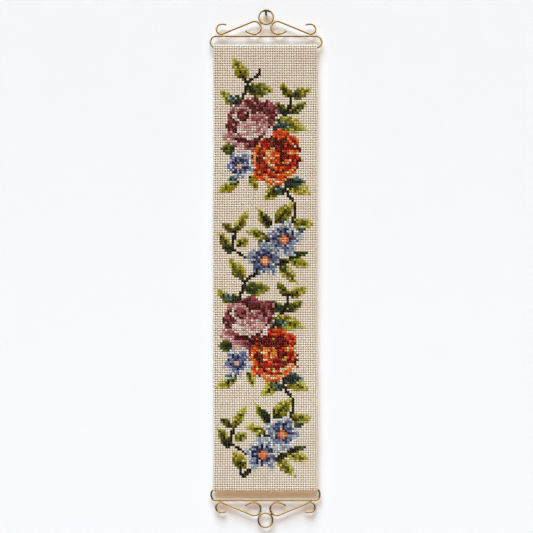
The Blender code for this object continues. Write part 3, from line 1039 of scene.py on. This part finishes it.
def thread_colours(thread, random):
    """The threads' own colours, each stitch a little lighter or darker than its neighbours."""
    yarns = np.array([tone for ramp in RAMPS.values() for tone in ramp])
    return np.clip(yarns[thread] * (1 + random.normal(0, 0.14, (len(thread), 1))), 0, 1)


def corner(row, column):
    return packed(column_line(column), row_line(row))


# Brass fittings


def flat_arc(centre, radius, start_deg, end_deg, flare=None):
    """Points every few degrees on an arc whose radius flare(degrees) may stretch."""
    degrees = np.linspace(start_deg, end_deg, max(3, int(abs(end_deg - start_deg) / 5)))
    reach = radius * (flare(degrees) if flare else 1)
    turn = np.radians(degrees)
    return centre + packed(reach * np.cos(turn), reach * np.sin(turn))


def opening(end_deg, flare):
    """The stretch of an arc's radius that opens it out by its end: 1 plus a square."""
    most, sweep = flare
    return lambda degrees: 1 + most * (np.maximum(0, degrees - end_deg + sweep) / sweep) ** 2


def scroll_line(fitting):
    """Centreline of the right-hand scroll: a round, a straight slope across, a round back."""
    inner = np.array([fitting.inner_x, WIRE_STEP + fitting.inner_radius])
    outer = np.array([fitting.outer_x, WIRE_STEP + fitting.outer_radius])
    across = outer - inner
    heading = math.degrees(math.atan2(across[1], across[0]))
    reach = np.hypot(*across)
    lean = math.degrees(math.acos((fitting.inner_radius + fitting.outer_radius) / reach))
    first = flat_arc(
        inner, fitting.inner_radius, INNER_END_DEG, heading + lean - 360,
        opening(INNER_END_DEG, INNER_FLARE),
    )
    last = flat_arc(
        outer, fitting.outer_radius, heading + lean + 180, OUTER_END_DEG,
        opening(OUTER_END_DEG, OUTER_FLARE),
    )
    way = np.linspace(0, 1, 14)[1:-1, None]
    slope = first[-1] + (last[0] - first[-1]) * way
    return np.concatenate([first, slope, last])


def bar_line(fitting):
    """Centreline of a bar: prong, half-oval ear, straight bar, ear, prong."""
    ear = flat_arc(np.zeros(2), 1, -90, 90)
    right = packed(
        fitting.ear_x + ear[:, 0] * fitting.ear_width,
        (ear[:, 1] - 1) * fitting.ear_height,
    )
    prong = np.array([[PRONG_END, -2 * fitting.ear_height]])
    half = np.concatenate([prong, right])
    return np.concatenate([half, half[::-1] * (-1, 1)])


def underside_shade(points):
    """Tones for rings of points, for painted shade: 0 above and in front, rising smoothly to 1
    underneath.

    With d the drop of a point below its ring's middle, over its distance from it, the tone is
    d + 0.15 held between 0 and 0.55, over 0.55.
    """
    out = points - points.mean(axis=-2, keepdims=True)
    drop = -out[..., 2] / np.linalg.norm(out, axis=-1)
    return np.repeat(np.clip((drop + 0.15) / 0.55, 0, 1)[..., None], 3, axis=-1)


def wire_skin(line, fitting, bar_z):
    """Round wire on a flat line of (x, distance beyond the bar), its free ends rounded over.

    Each ring lies in the plane halfway between its two neighbouring directions. Two smaller
    rings at each end round it off.
    """
    line = packed(line[:, 0] + fitting.shift, bar_z + fitting.up * line[:, 1])
    ahead = np.gradient(line, axis=0)
    ahead /= np.hypot(ahead[:, 0], ahead[:, 1])[:, None]
    out, shrink = END_RINGS.T
    tip = WIRE_RADIUS * END_ROUNDING * out[:, None]
    size = np.concatenate([shrink[::-1], np.ones(len(line)), shrink])
    line = np.concatenate([(line[0] - ahead[0] * tip)[::-1], line, line[-1] + ahead[-1] * tip])
    ahead = np.concatenate([ahead[:1], ahead[:1], ahead, ahead[-1:], ahead[-1:]])
    outline = round_outline(WIRE_SIDES) * WIRE_RADIUS
    side = packed(ahead[:, 1], -ahead[:, 0])
    flat = line[:, None, :] + side[:, None, :] * (outline[:, :1] * size[:, None, None])
    depth = PLANE_Y + outline[:, 1] * size[:, None]
    points = packed(flat[..., 0], depth, flat[..., 1])
    along = np.concatenate([[0], np.cumsum(np.hypot(*np.diff(line, axis=0).T))])
    return tube_skin(points[None], along[None] / MILLIMETRE, underside_shade(points[None]))


def ring_skin(centre_x, centre_z):
    """A torus: the wire's circle carried round the ring's circle."""
    turn = 2 * np.pi * np.arange(RING_STEPS) / RING_STEPS
    outline = round_outline(WIRE_SIDES) * WIRE_RADIUS
    reach = RING_RADIUS + outline[:, 0]
    x = centre_x + reach * np.cos(turn)[:, None]
    z = centre_z + reach * np.sin(turn)[:, None]
    y = np.broadcast_to(PLANE_Y + outline[:, 1], x.shape)
    points = packed(x, y, z)
    along = (RING_RADIUS * turn)[None] / MILLIMETRE
    return tube_skin(points[None], along, underside_shade(points[None]), closed=True)


def solder_skin(fitting, bar_z):
    """Beads of solder where wires meet: spheres drawn out along the wires and flattened.

    They are under both rounds of each scroll, on the bar, and between each scroll and the ring.
    """
    inner = np.array([fitting.inner_x, WIRE_STEP + fitting.inner_radius])
    to_ring = np.array([0, reach_beyond_bar(fitting)]) - inner
    to_ring /= np.hypot(*to_ring)
    between = WIRE_STEP / 2
    seat = inner + to_ring * (fitting.inner_radius + between)
    places = np.array([(fitting.inner_x, between), (fitting.outer_x, between), seat])
    along = np.array([(1, 0), (1, 0), (-to_ring[1], to_ring[0])])
    places = np.concatenate([places, places * (-1, 1)])
    along = np.concatenate([along, along * (-1, 1)])
    polar = np.linspace(SOLDER_END_ANGLE, np.pi - SOLDER_END_ANGLE, SOLDER_RINGS)[:, None]
    outline = round_outline(SOLDER_SIDES)
    reach = np.cos(polar) * SOLDER_LENGTH / 2 * np.ones(SOLDER_SIDES)
    aside = np.sin(polar) * outline[:, 0] * SOLDER_WIDTH / 2
    depth = PLANE_Y + np.sin(polar) * outline[:, 1] * WIRE_RADIUS * SOLDER_DEPTH_SHARE
    across = packed(-along[:, 1], along[:, 0])
    flat = (
        places[:, None, None, :]
        + reach[..., None] * along[:, None, None, :]
        + aside[..., None] * across[:, None, None, :]
    )
    x = fitting.shift + flat[..., 0]
    z = bar_z + fitting.up * flat[..., 1]
    points = packed(x, np.broadcast_to(depth, x.shape), z)
    turned = (along[:, 0] * across[:, 1] - along[:, 1] * across[:, 0]) * fitting.up < 0
    points = np.where(turned[:, None, None, None], points[:, ::-1], points)
    along = np.broadcast_to(np.arange(SOLDER_RINGS) * SOLDER_RING_GAP_MM, points.shape[:2])
    return tube_skin(points, along, underside_shade(points))


# Operators


class BELLPULL_OT_weave(bpy.types.Operator):
    """Weave the canvas from flat bundles of warp and weft, folded at the sides and sleeves"""

    bl_idname = "bellpull.weave"
    bl_label = "Weave the canvas"

    def execute(self, context):
        settings = context.scene.bellpull_canvas
        random = np.random.default_rng(WEAVE_SEED)
        yarn = yarn_finish("canvas_yarn", tuple(settings.yarn_colour), 8, 0.0)
        rows = row_numbers()
        middle, half = CHART_ROWS // 2, COLUMNS // 2
        low, high = -HEM_COLUMNS, COLUMNS + HEM_COLUMNS
        sleeve, bottom_sleeve = rows["sleeve"], rows["bottom_sleeve"]
        hem, hem_end = rows["hem"], rows["hem_end"]
        runs = [
            ("warp_left", range(1, half), FIRST_ROW, LAST_ROW),
            ("warp_right", range(half, COLUMNS - 1), FIRST_ROW, LAST_ROW),
            ("warp_left", [0], sleeve, bottom_sleeve),
            ("warp_right", [COLUMNS - 1], sleeve, bottom_sleeve),
            ("warp_left", range(low, 0), hem, hem_end),
            ("warp_right", range(COLUMNS, high), hem, hem_end),
            ("weft_upper", range(FIRST_ROW, sleeve), 1, COLUMNS - 1),
            ("weft_upper", range(sleeve, hem), 0, COLUMNS),
            ("weft_upper", range(hem, middle), low, high),
            ("weft_lower", range(middle, hem_end), low, high),
            ("weft_lower", range(hem_end, bottom_sleeve), 0, COLUMNS),
            ("weft_lower", range(bottom_sleeve, LAST_ROW), 1, COLUMNS - 1),
        ]
        skins = {}
        for name, numbers, first, last in runs:
            way = name.split("_")[0]
            skin = bundle_skin(way, numbers, first, last, settings, random)
            skins.setdefault(name, []).append(skin)
        for name, parts in skins.items():
            add_piece(name, join_skins(parts), yarn)
        return {"FINISHED"}


FRONT = np.abs(np.degrees(PATH_TURN) - 180) < 1e-6


def front_place(z):
    """Distance along the cloth of a height on its front."""
    return np.interp(-z, -PATH_Z[FRONT], PATH_V[FRONT])


def row_numbers():
    """Whole rows nearest to the places where the cloth's outline changes."""
    rows = np.arange(FIRST_ROW, LAST_ROW + 1)
    lines = row_line(rows)
    marks = {
        "sleeve": PATH_MARKS["sleeve"],
        "bottom_sleeve": PATH_MARKS["bottom_sleeve"],
        "hem": front_place(TOP_ROD_Z - SLEEVE_TAIL) + PITCH / 2,
        "hem_end": front_place(BOTTOM_ROD_Z + SLEEVE_TAIL) - PITCH / 2,
    }
    return {name: int(rows[np.argmin(np.abs(lines - v))]) for name, v in marks.items()}


class BELLPULL_OT_stitches(bpy.types.Operator):
    """Work the design in cross stitch, a crossed pair of legs on each square, and its backs"""

    bl_idname = "bellpull.stitches"
    bl_label = "Work the cross stitches"

    def execute(self, context):
        settings = context.scene.bellpull_stitch
        random = np.random.default_rng(STITCH_SEED)
        wool = yarn_finish("stitching_yarn", (1.0, 1.0, 1.0), 4, 0.55)
        chart = draw_design()
        backs = []
        for name, ramps in FAMILIES.items():
            row, column, thread = squares(chart, ramps)
            common = settings, thread_colours(thread, random), random
            here, across = corner(row, column), corner(row + 1, column + 1)
            right, left = corner(row, column + 1), corner(row + 1, column)
            lower = leg_skin(left, right, LOWER_LEG, *common)
            upper = leg_skin(here, across, UPPER_LEG, *common)
            add_piece(name, join_skins([lower, upper]), wool)
            backs.append(leg_skin(right, across, BACK_LEG, *common))
        add_piece("stitch_backs", join_skins(backs), wool)
        return {"FINISHED"}


class BELLPULL_OT_ground(bpy.types.Operator):
    """Lay the sheet of cloth that the bundles and stitches stand on, cut square at its corners"""

    bl_idname = "bellpull.ground"
    bl_label = "Lay the cloth"

    def execute(self, context):
        settings = context.scene.bellpull_canvas
        rows = row_numbers()
        row = np.arange(FIRST_ROW, LAST_ROW + 1)
        plain = np.concatenate([np.arange(0, COLUMNS / 2, 2), [COLUMNS / 2 - 1]])
        far = COLUMNS / 2 + np.arange(0, HEM_COLUMNS + 1)
        half = np.unique(np.round(np.concatenate([plain, fold_offsets(), far]), 4))
        offset = np.concatenate([-half[:0:-1], half])
        across = np.broadcast_to(offset * PITCH, (len(row), len(offset)))
        along = np.broadcast_to(row_line(row)[:, None], across.shape)
        points = lay(packed(across, along, np.zeros(across.shape)))
        middle = np.abs(offset[1:] + offset[:-1]) / 2
        between = row[:-1]
        in_hem = (between >= rows["hem"]) & (between < rows["hem_end"])
        in_sleeve = (between >= rows["sleeve"]) & (between < rows["bottom_sleeve"])
        limit = np.where(in_hem, COLUMNS / 2 + HEM_COLUMNS, COLUMNS / 2)
        limit = np.where(in_sleeve, limit, COLUMNS / 2 - 1)
        number = np.arange(across.size).reshape(across.shape)
        quads = grid_quads(number)[middle[None, :] < limit[:, None]]
        used, quads = np.unique(quads, return_inverse=True)
        skin = Skin(points.reshape(-1, 3)[used], [quads.reshape(-1, 4)], [], None)
        # Both faces of the sheet are painted dark, as the shade in the holes seen from in front and from
        # behind.
        hole_shade_material = hole_shade_finish("canvas_holes", tuple(settings.pit_shade_colour))
        cloth = add_piece("canvas", skin, hole_shade_material, ["canvas_band"])
        cloth.data.materials.append(hole_shade_finish("canvas_back", tuple(settings.back_shade_colour)))
        solid = cloth.modifiers.new("Thickness", "SOLIDIFY")
        solid.thickness = settings.ground
        solid.offset = 0
        solid.material_offset = 1
        long_way = row_line(LAST_ROW) - row_line(FIRST_ROW)
        hem_way = row_line(rows["hem_end"]) - row_line(rows["hem"])
        sleeve_way = row_line(rows["bottom_sleeve"]) - row_line(rows["sleeve"])
        area = (
            long_way * (CLOTH_WIDTH - 2 * PITCH)
            + sleeve_way * 2 * PITCH
            + hem_way * 2 * HEM_COLUMNS * PITCH
        )
        return {"FINISHED"}


class BELLPULL_OT_fittings(bpy.types.Operator):
    """Bend the brass wire fittings: bars, scrolls and rings, with solder where they meet"""

    bl_idname = "bellpull.fittings"
    bl_label = "Bend the brass fittings"

    def execute(self, context):
        settings = context.scene.bellpull_brass
        brass = brass_finish(tuple(settings.brass_colour), tuple(settings.tarnish_colour))
        heights = ((TOP, TOP_BAR_Z, TOP_RING_Z), (BOTTOM, BOTTOM_BAR_Z, BOTTOM_RING_Z))
        for fitting, bar_z, ring_z in heights:
            name = fitting.name
            bar = wire_skin(bar_line(fitting), fitting, bar_z)
            add_piece(f"brass_bar_{name}", bar, brass, [f"{name}_bar"])
            right = scroll_line(fitting)
            for side, line in (("left", right * (-1, 1)), ("right", right)):
                scroll = wire_skin(line, fitting, bar_z)
                node = f"{name}_scroll_{side}"
                add_piece(f"brass_scroll_{name}_{side}", scroll, brass, [node])
            add_piece(f"brass_solder_{name}", solder_skin(fitting, bar_z), brass)
            ring = ring_skin(fitting.shift, ring_z)
            add_piece(f"brass_ring_{name}", ring, brass, [f"{name}_ring"])
            paint_node(f"{name}_rod", brass)
        return {"FINISHED"}


class BELLPULL_OT_hook(bpy.types.Operator):
    """Give the wall hook its black paint"""

    bl_idname = "bellpull.hook"
    bl_label = "Paint the hook"

    def execute(self, context):
        paint_node("wall_hook", paint_finish(tuple(context.scene.bellpull_brass.black_colour)))
        return {"FINISHED"}


def paint_node(name, material):
    """Gives a solid that stays visible its material."""
    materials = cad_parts[name].data.materials
    materials.clear()
    materials.append(material)


class BELLPULL_OT_stage(bpy.types.Operator):
    """Set up the pale backdrop and floor, the soft lights and the camera"""

    bl_idname = "bellpull.stage"
    bl_label = "Set the stage"

    def execute(self, context):
        settings = context.scene.bellpull_stage
        add_backdrop(settings)
        middle = (settings.camera_x, PLANE_Y, settings.camera_z)
        for name, place, hidden_from in SUNS:
            sun = bpy.data.lights.new(f"{name}_light", "SUN")
            sun.energy = getattr(settings, f"{name}_strength")
            sun.color = getattr(settings, f"{name}_colour")
            sun.angle = getattr(settings, f"{name}_softness")
            setattr(aim_light(sun, place, (0, 0, 0)), hidden_from, False)
        back = bpy.data.lights.new("back_light", "AREA")
        back.shape = "DISK"
        back.size = BACK_LIGHT_SIZE
        back.energy = settings.back_power
        aim_light(back, BACK_LIGHT_PLACE, middle)
        world = bpy.data.worlds.new("soft_room")
        world.use_nodes = True
        room = world.node_tree.nodes["Background"]
        room.inputs["Color"].default_value = (*settings.room_colour, 1)
        room.inputs["Strength"].default_value = settings.room_strength
        context.scene.world = world
        context.scene.view_settings.view_transform = "Standard"
        lens = bpy.data.cameras.new("camera")
        lens.lens = LENS_MM
        lens.sensor_width = SENSOR_MM
        camera = bpy.data.objects.new("camera", lens)
        front_y = PLANE_Y - CLOTH_THICKNESS
        camera.location = (middle[0], front_y - settings.camera_distance, middle[2])
        camera.rotation_euler = (math.radians(90), 0, 0)
        context.scene.collection.objects.link(camera)
        context.scene.camera = camera
        return {"FINISHED"}


def add_backdrop(settings):
    """A wall that curves into a floor: a quarter circle between two straight runs."""
    turn = np.linspace(0, np.pi / 2, COVE_STEPS + 1)
    curve_y = BACKDROP_Y - COVE_RADIUS + COVE_RADIUS * np.cos(turn)
    curve_z = FLOOR_Z + COVE_RADIUS - COVE_RADIUS * np.sin(turn)
    y = np.concatenate([[BACKDROP_Y], curve_y, [FLOOR_FRONT_Y]])
    z = np.concatenate([[BACKDROP_TOP_Z], curve_z, [FLOOR_Z]])
    x = np.array([-BACKDROP_HALF_WIDTH, BACKDROP_HALF_WIDTH])
    points = np.stack(np.broadcast_arrays(x[None, :], y[:, None], z[:, None]), axis=-1)
    number = np.arange(2 * len(y)).reshape(len(y), 2)
    quads = grid_quads(number).reshape(-1, 4)
    mesh = bpy.data.meshes.new("backdrop")
    mesh.from_pydata(points.reshape(-1, 3).tolist(), [], quads.tolist())
    mesh.polygons.foreach_set("use_smooth", np.ones(len(quads), bool))
    mesh.materials.append(backdrop_finish(tuple(settings.backdrop_colour)))
    backdrop = bpy.data.objects.new("backdrop", mesh)
    bpy.context.scene.collection.objects.link(backdrop)


def aim_light(lamp, place, target):
    """Puts a lamp at a place and turns it so that it shines at the target."""
    light = bpy.data.objects.new(lamp.name, lamp)
    light.location = place
    direction = np.array(target) - np.array(place)
    flat = math.hypot(direction[0], direction[1])
    tilt = math.atan2(flat, -direction[2])
    light.rotation_euler = (tilt, 0, math.atan2(-direction[0], direction[1]))
    bpy.context.scene.collection.objects.link(light)
    return light


class BELLPULL_PT_panel(bpy.types.Panel):
    """Sizes and colours of the bell-pull, and the steps that make it"""

    bl_idname = "BELLPULL_PT_panel"
    bl_label = "Bell-pull"
    bl_space_type = "VIEW_3D"
    bl_region_type = "UI"
    bl_category = "Bell-pull"

    def draw(self, context):
        for group in SETTINGS:
            box = self.layout.box()
            settings = getattr(context.scene, group)
            for name in settings.bl_rna.properties.keys():
                if name not in ("rna_type", "name"):
                    box.prop(settings, name)
        for operator in OPERATORS:
            self.layout.operator(operator.bl_idname)


OPERATORS = (
    BELLPULL_OT_weave,
    BELLPULL_OT_stitches,
    BELLPULL_OT_ground,
    BELLPULL_OT_fittings,
    BELLPULL_OT_hook,
    BELLPULL_OT_stage,
)


def register():
    for item in (*SETTINGS.values(), *OPERATORS, BELLPULL_PT_panel):
        bpy.utils.register_class(item)
    for name, group in SETTINGS.items():
        setattr(bpy.types.Scene, name, bpy.props.PointerProperty(type=group))


def unregister():
    for name in SETTINGS:
        delattr(bpy.types.Scene, name)
    for item in reversed((*SETTINGS.values(), *OPERATORS, BELLPULL_PT_panel)):
        bpy.utils.unregister_class(item)


def main():
    register()
    for name in ("weave", "stitches", "ground", "fittings", "hook", "stage"):
        getattr(bpy.ops.bellpull, name)()


if __name__ == "__main__":
    main()
